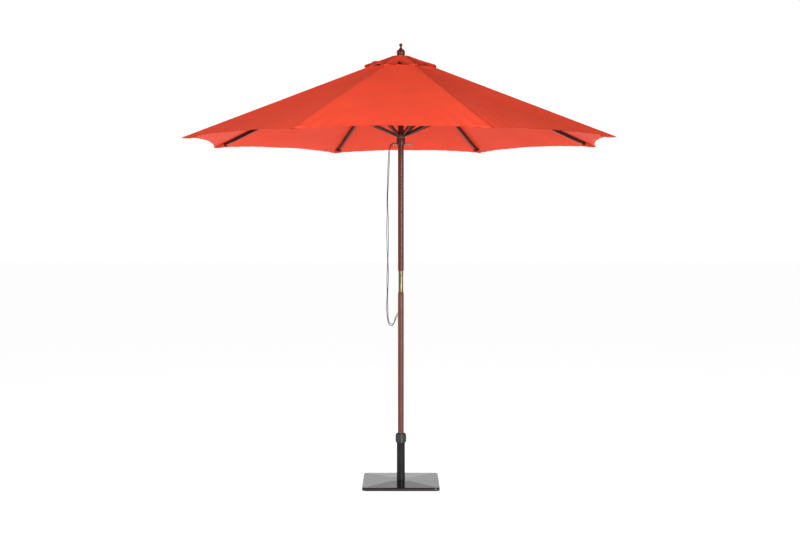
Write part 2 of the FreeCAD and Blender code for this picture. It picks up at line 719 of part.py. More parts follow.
def make_strut(number):
    """A strut along its own X axis, with its runner pivot at the origin."""
    body = doc.addObject("PartDesign::Body", f"strut_{number}_body")
    half_height = d.strut_height * 0.5
    points = [
        (0, -6),
        (22, -half_height),
        (arm - 24, -half_height),
        (arm, -6),
        (arm, 6),
        (arm - 24, half_height),
        (22, half_height),
        (0, 6),
    ]
    holes = [(0, 0, wire_hole), (arm, 0, d.rivet_radius + 0.05)]
    side = outline(body, f"strut_{number}_side", "XZ_Plane", points, {3: 6.3, 7: 6.3}, holes)
    pad(body, f"strut_{number}_stick", side, d.strut_width, symmetric=True)
    half_tongue = d.tongue_width * 0.5
    for sign, edge in ((1, "left"), (-1, "right")):
        corners = [
            (arm - 27, half_tongue * sign),
            (arm + 12, half_tongue * sign),
            (arm + 12, 9 * sign),
            (arm - 27, 9 * sign),
        ]
        cheek = outline(body, f"strut_{number}_{edge}", "XY_Plane", corners)
        pocket(body, f"strut_{number}_{edge}_cut", cheek, 40)
    return body


def make_rivet(number):
    """A rivet along its own Y axis, with its centre at the origin."""
    body = doc.addObject("PartDesign::Body", f"rib_pin_{number}_body")
    grip = d.rib_width * 0.5
    points = [
        (0, -grip - 1.4),
        (2.0, -grip - 1.2),
        (4.2, -grip),
        (d.rivet_radius, -grip),
        (d.rivet_radius, grip),
        (4.2, grip),
        (2.0, grip + 1.2),
        (0, grip + 1.4),
    ]
    sketch = outline(body, f"rib_pin_{number}_profile", "XY_Plane", points)
    turn = body.newObject("PartDesign::Revolution", f"rib_pin_{number}_turn")
    turn.Profile = sketch
    turn.ReferenceAxis = (sketch, ["V_Axis"])
    turn.Angle = 360
    return body


def rib_frame(angle, radius, z, slope):
    """A placement whose X axis points outwards along angle and down by slope degrees."""
    about_z = FreeCAD.Rotation(FreeCAD.Vector(0, 0, 1), angle)
    about_y = FreeCAD.Rotation(FreeCAD.Vector(0, 1, 0), slope)
    base = about_z.multVec(FreeCAD.Vector(radius, 0, 0)) + FreeCAD.Vector(0, 0, z)
    return FreeCAD.Placement(base, about_z.multiply(about_y))


cos_half = math.cos(math.radians(22.5))
sin_half = math.sin(math.radians(22.5))


def cloth_side(apex_z, inner, outer, inset, side, slope):
    """Half a gore: the flat cloth from the rib line to the middle of the panel."""
    fall = slope / cos_half
    middle = FreeCAD.Vector(cos_half, side * sin_half, 0)
    along_chord = FreeCAD.Vector(sin_half, -side * cos_half, 0)
    seam_gap = 0.3

    def on_panel(across, towards_rib):
        point = middle * across + along_chord * towards_rib
        point.z = apex_z - fall * across
        return point

    inner_mid = on_panel(inner * cos_half, seam_gap)
    inner_rib = on_panel(inner * cos_half, inner * sin_half)
    outer_rib = on_panel(outer * cos_half, outer * sin_half)
    outer_quarter = on_panel(outer * cos_half - inset * 0.75, outer * sin_half / 2)
    outer_mid = on_panel(outer * cos_half - inset, seam_gap)
    edges = [
        Part.LineSegment(inner_mid, inner_rib).toShape(),
        Part.LineSegment(inner_rib, outer_rib).toShape(),
        Part.Arc(outer_rib, outer_quarter, outer_mid).toShape(),
        Part.LineSegment(outer_mid, inner_mid).toShape(),
    ]
    face = Part.Face(Part.Wire(edges))
    normal = FreeCAD.Vector(middle.x * fall, middle.y * fall, 1).normalize()
    return face.extrude(normal * -d.canopy_thickness.value)


def make_gore():
    """One gore of the main canopy and of the vent cap, sewn together along the rib line."""
    slope = math.tan(pitch)
    cap_slope = 0.392
    main_apex, cap_apex = d.canopy_apex_z.value, d.cap_apex_z.value
    pieces = []
    for side in (1, -1):
        pieces.append(cloth_side(
            main_apex, d.vent_radius.value, d.canopy_radius.value, d.hem_inset.value, side, slope))
        pieces.append(cloth_side(
            cap_apex, d.cap_inner.value, d.cap_radius.value, d.cap_inset.value, side, cap_slope))
    start, end = d.vent_radius.value + 4, d.cap_radius.value - 6
    seam = [
        FreeCAD.Vector(start, -1.5, main_apex - slope * start - 1),
        FreeCAD.Vector(end, -1.5, main_apex - slope * end - 1),
        FreeCAD.Vector(end, -1.5, cap_apex - cap_slope * end - 1),
        FreeCAD.Vector(start, -1.5, cap_apex - cap_slope * start - 1),
    ]
    strip = Part.Face(Part.makePolygon(seam + seam[:1])).extrude(FreeCAD.Vector(0, 3, 0))
    return pieces[0].multiFuse(pieces[1:] + [strip]).removeSplitter()


gore_shape = make_gore()
print("gore solids", len(gore_shape.Solids), "volume", round(gore_shape.Volume))
knuckle_spot = FreeCAD.Vector(d.knuckle_along.value, 0, knuckle_z.value)
for i, angle in enumerate(rib_angles, start=1):
    frame = rib_frame(angle, d.pivot_radius.value, d.crown_pivot_z.value, d.pitch.value)
    rib = make_rib(i)
    rib.Placement = frame
    node(f"rib_{i}", rib)
    rivet = make_rivet(i)
    rivet.Placement = FreeCAD.Placement(frame.multVec(knuckle_spot), frame.Rotation)
    node(f"rib_pin_{i}", rivet)
    strut = make_strut(i)
    rise = 90 - math.degrees(arm_angle)
    strut.Placement = rib_frame(angle, d.pivot_radius.value, runner_pivot_z, -rise)
    node(f"strut_{i}", strut)
    gore = doc.addObject("Part::Feature", f"canopy_{i}_body")
    gore.Shape = gore_shape
    gore.Placement = FreeCAD.Placement(
        FreeCAD.Vector(0, 0, 0), FreeCAD.Rotation(FreeCAD.Vector(0, 0, 1), angle)
    )
    node(f"canopy_{i}", gore)

# ---- checks, then one file for each node ------------------------------------
doc.recompute()
for obj in doc.Objects:
    if {"Invalid", "Error"} & set(obj.State):
        raise SystemExit(f"{obj.Name} failed: {obj.State}")
for name, obj in nodes.items():
    if obj.Shape.isNull() or not obj.Shape.isValid():
        raise SystemExit(f"{name} has no valid shape")
    wanted = 4 if name == "base_feet" else 1
    if len(obj.Shape.Solids) != wanted:
        raise SystemExit(f"{name} has {len(obj.Shape.Solids)} solids, not {wanted}")

os.makedirs("parts", exist_ok=True)
for name, obj in nodes.items():
    obj.Shape.exportStep(f"parts/{name}.step")
print(len(nodes), "nodes written")
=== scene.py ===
import math

import bpy
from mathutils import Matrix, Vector


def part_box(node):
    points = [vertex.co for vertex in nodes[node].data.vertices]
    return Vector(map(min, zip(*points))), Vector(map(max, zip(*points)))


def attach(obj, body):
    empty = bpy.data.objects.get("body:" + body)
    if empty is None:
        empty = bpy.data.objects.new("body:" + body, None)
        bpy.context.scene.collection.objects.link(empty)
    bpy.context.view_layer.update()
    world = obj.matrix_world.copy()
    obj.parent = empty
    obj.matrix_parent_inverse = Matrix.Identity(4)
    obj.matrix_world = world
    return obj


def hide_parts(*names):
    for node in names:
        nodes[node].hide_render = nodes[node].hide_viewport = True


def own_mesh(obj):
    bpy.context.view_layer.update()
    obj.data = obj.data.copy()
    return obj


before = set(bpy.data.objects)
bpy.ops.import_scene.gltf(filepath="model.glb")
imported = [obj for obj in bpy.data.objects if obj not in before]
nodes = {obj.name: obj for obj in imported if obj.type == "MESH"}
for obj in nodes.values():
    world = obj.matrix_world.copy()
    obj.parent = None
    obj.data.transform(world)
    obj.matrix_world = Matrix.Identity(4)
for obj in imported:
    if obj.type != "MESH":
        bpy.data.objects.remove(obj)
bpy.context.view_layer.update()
scene = bpy.context.scene
scene.view_settings.view_transform = "Standard"

RIB_COUNT = 8
RIB_STEP = 360 / RIB_COUNT
# where rib 1 points, in degrees, seen from above: it is the right-hand one of the two in front
FIRST_RIB = -69.7
# half the angle between two ribs
HALF = math.radians(RIB_STEP / 2)
# how steeply the ribs fall from the crown, and the struts rise from the runner
RIB_FALL = math.radians(21.8)
STRUT_RISE = math.radians(23.2)


def rib_angle(rib):
    return math.radians(FIRST_RIB + RIB_STEP * (rib - 1))


def rib_directions(angle):
    """At an angle round the mast: out from it, along the hem, and off a rib's slope."""
    out = Vector((math.cos(angle), math.sin(angle), 0))
    tangent = Vector((-math.sin(angle), math.cos(angle), 0))
    normal = (out * math.sin(RIB_FALL) + Vector((0, 0, 1)) * math.cos(RIB_FALL)).normalized()
    return out, tangent, normal


# ---- camera -------------------------------------------------------------------
# level, at the height of a standing person's eyes, and shifted down to take in the base
camera = bpy.data.objects.new("camera", bpy.data.cameras.new("camera"))
scene.collection.objects.link(camera)
camera.location = (-0.0028, -7.828, 1.6263)
camera.rotation_euler = (math.radians(90), 0, 0)
camera.data.sensor_width = 36
camera.data.lens = 57.54
camera.data.shift_x = -0.0005
camera.data.shift_y = -0.0607
camera.data.clip_end = 100
scene.camera = camera


# ---- shader helpers -----------------------------------------------------------
STITCHES_PER_METRE = 220
# the share of a stitch's pitch that the thread leaves open
STITCH_GAP = 0.35


class Shader:
    """A material's node tree, with short ways to add and join nodes."""

    def __init__(self, name):
        self.material = bpy.data.materials.new(name)
        self.material.use_nodes = True
        self.tree = self.material.node_tree
        self.surface = self.tree.nodes["Principled BSDF"]
        self.output = self.tree.nodes["Material Output"]

    def add(self, kind, **settings):
        made = self.tree.nodes.new(kind)
        for key, value in settings.items():
            setattr(made, key, value)
        return made

    def join(self, source, target):
        self.tree.links.new(source, target)

    def coordinates(self, rotation=(0, 0, 0), scale=(1, 1, 1)):
        """The object's own coordinates, turned and then scaled."""
        place = self.add("ShaderNodeTexCoord")
        mapping = self.add("ShaderNodeMapping")
        mapping.inputs["Rotation"].default_value = rotation
        mapping.inputs["Scale"].default_value = scale
        self.join(place.outputs["Object"], mapping.inputs["Vector"])
        return mapping.outputs["Vector"]

    def noise(self, vector, scale, detail, roughness=0.5):
        made = self.add("ShaderNodeTexNoise")
        made.inputs["Scale"].default_value = scale
        made.inputs["Detail"].default_value = detail
        made.inputs["Roughness"].default_value = roughness
        self.join(vector, made.inputs["Vector"])
        return made.outputs["Fac"]

    def wave(self, vector, scale, distortion, direction):
        made = self.add("ShaderNodeTexWave", bands_direction=direction)
        made.inputs["Scale"].default_value = scale
        made.inputs["Distortion"].default_value = distortion
        self.join(vector, made.inputs["Vector"])
        return made.outputs["Fac"]

    def ramp(self, factor, *stops):
        """stops are (position, colour)."""
        made = self.add("ShaderNodeValToRGB")
        while len(made.color_ramp.elements) < len(stops):
            made.color_ramp.elements.new(0.5)
        for element, (position, colour) in zip(made.color_ramp.elements, stops):
            element.position = position
            element.color = (*colour, 1)
        self.join(factor, made.inputs["Fac"])
        return made.outputs["Color"]

    def range(self, factor, low, high):
        made = self.add("ShaderNodeMapRange")
        made.inputs["To Min"].default_value = low
        made.inputs["To Max"].default_value = high
        self.join(factor, made.inputs["Value"])
        return made.outputs["Result"]

    def maths(self, operation, first, second=0.0):
        """An operation on two values, each a number or a socket."""
        made = self.add("ShaderNodeMath", operation=operation)
        for socket, value in zip(made.inputs, (first, second)):
            if isinstance(value, (int, float)):
                socket.default_value = value
            else:
                self.join(value, socket)
        return made.outputs["Value"]

    def blend(self, first, first_share, second, second_share):
        """The two values added in the given shares."""
        scaled = self.maths("MULTIPLY", second, second_share)
        return self.maths("ADD", self.maths("MULTIPLY", first, first_share), scaled)

    def dashes(self, value):
        """1 and 0 by turns along a value in metres, as stitches lie."""
        place = self.maths("FRACT", self.maths("MULTIPLY", value, STITCHES_PER_METRE))
        return self.maths("GREATER_THAN", place, STITCH_GAP)

    def band(self, value, centre, half_width):
        """1 within half_width of centre, and 0 elsewhere."""
        made = self.maths("COMPARE", value, centre)
        made.node.inputs[2].default_value = half_width
        return made

    def bump(self, height, strength, distance):
        made = self.add("ShaderNodeBump")
        made.inputs["Strength"].default_value = strength
        made.inputs["Distance"].default_value = distance
        self.join(height, made.inputs["Height"])
        self.join(made.outputs["Normal"], self.surface.inputs["Normal"])
        return made.outputs["Normal"]

    def set(self, **values):
        """Fixed values on the surface's own sockets."""
        names = {"coat": "Coat Weight", "coat_rough": "Coat Roughness"}
        for key, value in values.items():
            name = names.get(key, key.replace("_", " ").title().replace("Ior", "IOR"))
            self.surface.inputs[name].default_value = value


def wood(name, dark, light, along=(0, 0, 1), gloss=0.3):
    """Stained, varnished wood with its grain along a direction."""
    s = Shader(name)
    turn = tuple(Vector(along).rotation_difference(Vector((0, 0, 1))).to_euler())
    fibres = s.noise(s.coordinates(turn, (380, 380, 7)), 1.0, 5.0, 0.65)
    pores = s.noise(s.coordinates(turn, (1300, 1300, 40)), 1.0, 2.0)
    broad = s.noise(s.coordinates(turn, (45, 45, 1.5)), 1.0, 3.0)
    mixed = s.blend(fibres, 0.55, broad, 0.45)
    between = tuple((a + b) / 2 for a, b in zip(dark, light))
    colour = s.ramp(mixed, (0.36, dark), (0.5, between), (0.64, light))
    s.join(colour, s.surface.inputs["Base Color"])
    s.join(s.range(fibres, gloss - 0.05, gloss + 0.15), s.surface.inputs["Roughness"])
    s.bump(s.blend(fibres, 1.0, pores, 0.5), 0.3, 0.0003)
    s.set(coat=0.05, coat_rough=0.12, specular_ior_level=0.16)
    return s.material


def painted(name, colour, roughness, grain=900.0, shine=0.5):
    """Paint, plastic, rubber or concrete: one colour in faint patches, with a fine grain."""
    s = Shader(name)
    place = s.coordinates()
    speckle = s.noise(place, grain, 2.0)
    patches = s.noise(place, 6.0, 4.0)
    lighter = tuple(min(1, c * 1.35 + 0.004) for c in colour)
    s.join(s.ramp(patches, (0.35, colour), (0.7, lighter)), s.surface.inputs["Base Color"])
    s.join(s.range(patches, roughness - 0.05, roughness + 0.07), s.surface.inputs["Roughness"])
    s.bump(speckle, 0.1, 0.00005)
    s.set(specular_ior_level=shine)
    return s.material


def metal(name, colour, roughness, tarnish=None):
    """Metal brushed along its length, with patches of tarnish."""
    s = Shader(name)
    patches = s.noise(s.coordinates(scale=(30, 30, 12)), 3.0, 5.0, 0.6)
    lines = s.noise(s.coordinates(scale=(900, 900, 18)), 1.0, 2.0)
    s.join(
        s.ramp(patches, (0.35, tarnish or tuple(c * 0.75 for c in colour)), (0.6, colour)),
        s.surface.inputs["Base Color"],
    )
    s.join(s.range(patches, roughness - 0.06, roughness + 0.12), s.surface.inputs["Roughness"])
    s.bump(lines, 0.15, 0.0001)
    s.set(metallic=1.0)
    return s.material


THREAD_PITCH = 0.0011
# how far from a rib the cloth is stitched, and how far it is double
SEAM_AT = 0.0085
DOUBLE_TO = 0.011
THREAD_HALF_WIDTH = 0.0007


def cloth(name, colour, hem_at, through=0.13):
    """Plain-woven polyester that lets light through, less where it is sewn double: beside
    the ribs and at the hem. Its UVs are metres from the crown and from the rib."""
    s = Shader(name)
    uv = s.add("ShaderNodeUVMap")
    split = s.add("ShaderNodeSeparateXYZ")
    s.join(uv.outputs["UV"], split.inputs["Vector"])
    along, across = split.outputs["X"], split.outputs["Y"]
    warp = s.maths("SINE", s.maths("MULTIPLY", along, 2 * math.pi / THREAD_PITCH))
    weft = s.maths("SINE", s.maths("MULTIPLY", across, 2 * math.pi / THREAD_PITCH))
    weave = s.maths("MULTIPLY", warp, weft)
    slubs = s.noise(s.coordinates(), 420.0, 2.0)
    creases = s.noise(s.coordinates(scale=(1, 1, 1.6)), 5.0, 4.0, 0.5)
    tint = s.blend(slubs, 0.4, creases, 0.6)
    darker = tuple(c * 0.9 for c in colour)
    brighter = tuple(min(1.0, c * 1.06) for c in colour)
    base = s.ramp(tint, (0.3, darker), (0.7, brighter))
    seam = s.maths("MULTIPLY", s.band(across, SEAM_AT, THREAD_HALF_WIDTH), s.dashes(along))
    hem = s.maths("MULTIPLY", s.band(along, hem_at, THREAD_HALF_WIDTH), s.dashes(across))
    stitches = s.maths("MAXIMUM", seam, hem)
    thread = s.add("ShaderNodeMix", data_type="RGBA")
    s.join(stitches, thread.inputs[0])
    s.join(base, thread.inputs[6])
    thread.inputs[7].default_value = (*(c * 0.55 for c in colour), 1)
    s.join(thread.outputs[2], s.surface.inputs["Base Color"])
    threads = s.blend(weave, 0.12, stitches, -1.0)
    normal = s.bump(s.blend(threads, 1.0, creases, 5.0), 0.3, 0.001)
    s.set(roughness=0.5, specular_ior_level=0.035)
    glow = s.add("ShaderNodeBsdfTranslucent")
    red, green, blue = colour
    glow.inputs["Color"].default_value = (min(1, red * 1.1), green * 1.5, blue * 1.6, 1)
    s.join(normal, glow.inputs["Normal"])
    beside_rib = s.maths("LESS_THAN", across, DOUBLE_TO)
    doubled = s.maths("MAXIMUM", beside_rib, s.maths("GREATER_THAN", along, hem_at))
    both = s.add("ShaderNodeMixShader")
    s.join(s.range(doubled, through, through * 0.45), both.inputs["Fac"])
    s.join(s.surface.outputs["BSDF"], both.inputs[1])
    s.join(glow.outputs["BSDF"], both.inputs[2])
    s.join(both.outputs["Shader"], s.output.inputs["Surface"])
    return s.material


def give(obj, material):
    obj.data.materials.clear()
    obj.data.materials.append(material)


# ---- pull cord ----------------------------------------------------------------
CORD_DIAMETER = 0.0042
# the two strands' routes from the runner to the bead, in millimetres
STRAND_FRONT = [
    (-21, -3, 2083), (-34, -3, 2085), (-49, -3, 2084), (-64, -4, 2073), (-72, -4, 2054),
    (-75, -4, 2028), (-77, -4, 1988), (-79, -5, 1926), (-82, -3, 1864), (-83, -4, 1800),
    (-85, -5, 1737), (-84, -4, 1675), (-85, -2, 1612), (-87, -1, 1549), (-85, 0, 1487),
    (-84, -2, 1425), (-81, -5, 1364), (-83, -3, 1303), (-86, -1, 1242), (-83, -4, 1184),
    (-85, -5, 1130), (-88, -1, 1082), (-85, -4, 1038), (-81, -5, 1006), (-76, -3, 982),
    (-67, 0, 968), (-54, 6, 965), (-44, 13, 976), (-37, 21, 993), (-29, 28, 1011),
    (-20, 34, 1027), (-10, 39, 1036),
]
STRAND_BACK = [
    (-21, 5, 2083), (-33, 5, 2085), (-46, 5, 2083), (-58, 5, 2073), (-65, 5, 2055),
    (-68, 4, 2030), (-70, 4, 1990), (-73, 5, 1927), (-75, 4, 1863), (-79, 5, 1799),
    (-81, 4, 1736), (-79, 5, 1674), (-77, 3, 1611), (-77, 1, 1549), (-75, 2, 1486),
    (-77, 3, 1424), (-80, 4, 1363), (-76, 3, 1302), (-77, 1, 1241), (-80, 4, 1183),
    (-82, 4, 1131), (-80, 2, 1085), (-79, 5, 1045), (-78, 6, 1015), (-75, 7, 994),
    (-67, 10, 980), (-53, 15, 974), (-41, 22, 981), (-38, 28, 1003), (-31, 31, 1023),
    (-22, 37, 1039), (-11, 41, 1045),
]


def cord_material():
    """Braided cord: two sets of threads that cross, and a little fuzz."""
    s = Shader("cord_braid")
    left = s.wave(s.coordinates(rotation=(0.5, 0.4, 0)), 150.0, 0.4, "Z")
    right = s.wave(s.coordinates(rotation=(-0.5, -0.4, 0)), 150.0, 0.4, "Z")
    braid = s.maths("MULTIPLY", left, right)
    fuzz = s.noise(s.coordinates(), 1400.0, 2.0)
    s.join(
        s.ramp(braid, (0.1, (0.02, 0.016, 0.016)), (0.6, (0.10, 0.085, 0.082))),
        s.surface.inputs["Base Color"],
    )
    s.bump(s.blend(braid, 1.0, fuzz, 0.4), 0.6, 0.0008)
    s.set(roughness=0.85, specular_ior_level=0.2)
    return s.material


def pull_strand(name, route, node_name, material):
    """One strand of the cord, as a smooth tube along its route."""
    curve = bpy.data.curves.new(name, "CURVE")
    curve.dimensions = "3D"
    curve.bevel_depth = CORD_DIAMETER / 2
    curve.bevel_resolution = 4
    curve.resolution_u = 10
    curve.use_fill_caps = True
    spline = curve.splines.new("NURBS")
    spline.points.add(len(route) - 1)
    for point, (x, y, z) in zip(spline.points, route):
        point.co = (x / 1000, y / 1000, z / 1000, 1)
    spline.order_u = 3
    spline.use_endpoint_u = True
    strand = bpy.data.objects.new(name, curve)
    scene.collection.objects.link(strand)
    give(strand, material)
    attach(strand, "runner")
    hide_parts(node_name)
    return strand


braid = cord_material()
for strand_name, route, node_name, length in (
    ("pull_cord_front", STRAND_FRONT, "cord_front", 1.261),
    ("pull_cord_back", STRAND_BACK, "cord_back", 1.244),
):
    strand = pull_strand(strand_name, route, node_name, braid)


# ---- canopy -------------------------------------------------------------------
CLOTH_RED = (0.82, 0.070, 0.034)
# distances from the mast to the hem's stitches and to the corners, and down a rib's pocket
HEM_AT, CORNER_AT = 1.326, 1.350
VENT_HEM_AT, VENT_CORNER_AT = 0.224, 0.241
POCKET_HEM_AT = 0.05
canopy_cloth = cloth("canopy_cloth", CLOTH_RED, hem_at=HEM_AT)
# the vent cap's cloth, also used on the crown patch, is the canopy's red darkened to 0.8: a
# painted shade of the cap
vent_cloth_painted_shade = cloth("vent_cloth_painted_shade", tuple(c * 0.8 for c in CLOTH_RED), VENT_HEM_AT, through=0.1)
# the pouches' cloth is the canopy's red darkened to 0.7: a painted shade under the rib tips
pocket_red_painted_shade = tuple(c * 0.7 for c in CLOTH_RED)
pocket_cloth_painted_shade = cloth("pocket_cloth_painted_shade", pocket_red_painted_shade, POCKET_HEM_AT, through=0.1)
# how far below the CAD cloth's outer face its middle lies, where the sheets are
SKIN = 0.0008
CANOPY_APEX, CANOPY_SLOPE = 2.627, math.tan(RIB_FALL)
VENT_APEX, VENT_SLOPE = 2.638, 0.392
# how far the middle of a vent panel's hem is lifted, and over what width. Panel n is
# between rib n and the next one, and panel 8 is the front one.
VENT_LIFTS = {
    8: (0.022, 0.014), 7: (0.024, 0.05), 1: (0.006, 0.03), 3: (0.012, 0.03), 5: (0.010, 0.04),
}
PLAIN_LIFT = (0.003, 0.045)
# how far the vent's hem stands off at each rib
VENT_CORNERS = {1: -0.003, 2: 0.006, 3: 0.004, 4: 0.002, 5: 0.002, 6: 0.004, 7: 0.008, 8: -0.005}
# how strongly the cloth bulges beside a rib's tip, by rib and side
TUCKS = {(8, 1): 1.0, (1, -1): 0.7, (2, -1): 0.6, (5, 1): 0.5}
PLAIN_TUCK = 0.15


def panel_beside(rib, side):
    """The number of the panel to the left of a rib (side 1) or to its right (side -1)."""
    return rib if side == 1 else (rib - 2) % RIB_COUNT + 1


def panel_point(apex, slope, across, along, side, angle, lift):
    """A point on a flat panel between two ribs. across runs down the panel's middle,
    along runs from the middle towards the rib, and lift is off the panel."""
    out, tangent, _ = rib_directions(angle + side * HALF)
    fall = slope / math.cos(HALF)
    point = out * across - tangent * side * along
    point.z = apex - fall * across
    normal = Vector((out.x * fall, out.y * fall, 1)).normalized()
    return point + normal * lift


def smooth(t):
    t = min(max(t, 0.0), 1.0)
    return t * t * (3 - 2 * t)


def steps(count, crowd_start=0.0, crowd_end=0.0):
    """Values from 0 to 1, closer together at the ends where asked."""
    values = [0.0]
    for i in range(count):
        t = (i + 0.5) / count
        weight = 1 - crowd_start * (1 - t) ** 4 - crowd_end * t**4
        values.append(values[-1] + weight)
    return [v / values[-1] for v in values]


def even(count):
    return [i / count for i in range(count + 1)]


def grid_mesh(name, us, vs, point_at, material):
    """A smooth sheet over a grid. point_at(u, v) gives each point and its UV."""
    made = [point_at(u, v) for u in us for v in vs]
    wide = len(vs)
    faces = []
    for r in range(len(us) - 1):
        for c in range(wide - 1):
            a = r * wide + c
            faces.append((a, a + 1, a + wide + 1, a + wide))
    mesh = bpy.data.meshes.new(name)
    mesh.from_pydata([point for point, uv in made], [], faces)
    layer = mesh.uv_layers.new(name="UVMap")
    for loop in mesh.loops:
        layer.data[loop.index].uv = made[loop.vertex_index][1]
    for polygon in mesh.polygons:
        polygon.use_smooth = True
    obj = bpy.data.objects.new(name, mesh)
    scene.collection.objects.link(obj)
    give(obj, material)
    return obj


def main_half(rib, side, angle):
    """Half a gore of the main canopy, from its rib to the middle of the panel beside it,
    as grid_mesh takes it. u runs down the rib, and v from the rib to the panel's middle."""
    inner, hem_inset = 0.200, 0.043
    bulge_from, bulge_off_rib, bulge_width = 1.265, 0.030, 0.017
    panel = panel_beside(rib, side)
    tuck = TUCKS.get((rib, side), PLAIN_TUCK)

    def at(u, v):
        radius = inner + (CORNER_AT - inner) * u
        half_chord = radius * math.sin(HALF)
        off_rib = v * half_chord
        edge = 1 - v
        along = half_chord - off_rib
        signed = along * side
        # the hem curves in between the corners
        hem = hem_inset * (1 - edge**2.4) * smooth((u - 0.35) / 0.65) ** 1.3
        across = radius * math.cos(HALF) - hem
        # the middle sags, the seam stands up over the rib, and the cloth is pulled into
        # small waves beside the rib and slack ones across the panel
        free = 1 - edge**2
        sag = -0.011 * free * math.sin(math.pi * min(1, u * 0.96 + 0.04)) ** 0.8
        seam = 0.0013 * math.exp(-((off_rib / SEAM_AT) ** 6))
        near_rib = min(1, off_rib / 0.03) * edge
        waves = 0.0018 * math.sin(off_rib * 80 + rib * 1.7)
        pull = waves * smooth((u - 0.6) / 0.4) * near_rib
        slack = 0.0010 * math.sin(signed * 14 + panel * 2.3 + radius * 5) * free * u
        flare = 0.0008 * math.sin(signed * 22 + panel) * smooth((u - 0.93) / 0.07) * free
        # a bulge beside the rib's tip
        rise = smooth((radius - bulge_from) / 0.055) * (1 - smooth((radius - HEM_AT) / 0.02))
        beside = math.exp(-(((off_rib - bulge_off_rib) / bulge_width) ** 2))
        bulge = 0.006 * tuck * beside * rise
        lift = sag + seam + pull + slack + flare + bulge - SKIN
        point = panel_point(CANOPY_APEX, CANOPY_SLOPE, across, along, side, angle, lift)
        return point, (radius, off_rib)

    return steps(84, crowd_end=0.8), steps(30, crowd_start=0.85), at


def vent_half(rib, side, angle):
    """Half a gore of the vent cap, with its loose hem, laid out as main_half is."""
    inner, hem_inset = 0.052, 0.006
    panel = panel_beside(rib, side)
    height, width = VENT_LIFTS.get(panel, PLAIN_LIFT)
    hollow_depth = -0.008 if panel == 8 else -0.003

    def at(u, v):
        radius = inner + (VENT_CORNER_AT - inner) * u
        half_chord = radius * math.sin(HALF)
        off_rib = v * half_chord
        edge = 1 - v
        along = half_chord - off_rib
        signed = along * side
        free = 1 - edge**2
        across = radius * math.cos(HALF) - hem_inset * free * u**2
        # the hem ripples, is lifted in the middle and turns down at the rib, and the
        # panel dips between the crown and the hem
        loose = smooth((u - 0.35) / 0.65)
        ripple = 0.0022 * math.sin(signed * 85 + panel * 2.1) * loose * free
        raised = height * loose * math.exp(-((along / width) ** 2)) * free
        dip = -0.006 * math.sin(math.pi * u) * free + hollow_depth * free * smooth(u / 0.8)
        corner = VENT_CORNERS[rib] * edge**2 * loose
        brim = -0.008 * smooth((u - 0.92) / 0.08) * edge**3
        lift = ripple + raised + dip + corner + brim - SKIN
        point = panel_point(VENT_APEX, VENT_SLOPE, across, along, side, angle, lift)
        return point, (radius, off_rib)

    return steps(44, crowd_end=0.8), steps(24, crowd_start=0.5), at


def tip_pocket(angle):
    """The pouch that holds the end of a rib, as grid_mesh takes it. u runs from its mouth to
    the canopy's corner, and v across it."""
    mouth_at, end_at = 1.268, 1.346
    out, tangent, normal = rib_directions(angle)

    def at(u, v):
        radius = mouth_at + (end_at - mouth_at) * u
        under_cloth = Vector((0, 0, CANOPY_APEX - CANOPY_SLOPE * radius)) - normal * 0.0018
        half_width = 0.021 - 0.017 * smooth(u * 1.05)
        depth = 0.024 * (1 - u**1.6) + 0.0015
        across = -1 + 2 * v
        belly = (1 - abs(across) ** 2.6) ** 0.6
        gather = 0.0009 * math.sin(across * 11 + u * 9)
        fall = 0.0011 * (half_width / 0.004) * abs(across)
        below = depth * belly + fall + gather * belly
        point = out * radius + under_cloth + tangent * (half_width * across) - normal * below
        return point, (u * 0.08, half_width * (1 + across))

    return steps(14, 0.5, 0.5), even(16), at


def folds_to(obj):
    """Gives half a gore a mesh of its own."""
    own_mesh(obj)


def cloth_piece(name, shape, rib, material):
    """Adds a cloth sheet that rides on a rib and stands for its CAD gore."""
    obj = grid_mesh(name, *shape, material)
    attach(obj, f"rib_{rib}")
    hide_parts(f"canopy_{rib}")
    return obj


for rib in range(1, RIB_COUNT + 1):
    angle = rib_angle(rib)
    for side, word in ((1, "left"), (-1, "right")):
        main = cloth_piece(
            f"canopy_{word}_{rib}", main_half(rib, side, angle), rib, canopy_cloth
        )
        folds_to(
            main
        )
        vent = cloth_piece(
            f"vent_{word}_{rib}", vent_half(rib, side, angle), rib, vent_cloth_painted_shade
        )
        folds_to(vent)
    cloth_piece(f"tip_pocket_{rib}", tip_pocket(angle), rib, pocket_cloth_painted_shade)


# ---- the round patch over the crown ---------------------------------------------
# from the finial's stud out to the rim, and last back under it
PATCH_RADII = (0.0034, 0.012, 0.022, 0.032, 0.041, 0.048, 0.053, 0.0565, 0.0575, 0.0568)
PATCH_FLAT_TO = 0.045
PATCH_TUCK = 0.0022


def crown_patch():
    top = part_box("top_patch")[1][2]

    def at(radius, v):
        turn = 2 * math.pi * v
        pleat = 0.0005 * math.sin(turn * 8 + 0.6) * (radius / 0.057) ** 2
        over = max(0.0, radius - PATCH_FLAT_TO)
        drop = 0.0018 * (over / 0.0125) ** 2
        tucked = PATCH_TUCK if radius == PATCH_RADII[-1] else 0
        z = top - 0.0002 - drop + pleat - tucked
        point = Vector((radius * math.cos(turn), radius * math.sin(turn), z))
        return point, (radius, 0.02 + turn * 0.05)

    patch = grid_mesh("crown_patch", PATCH_RADII, even(64), at, vent_cloth_painted_shade)
    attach(patch, "upper_mast")
    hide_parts("top_patch")


crown_patch()
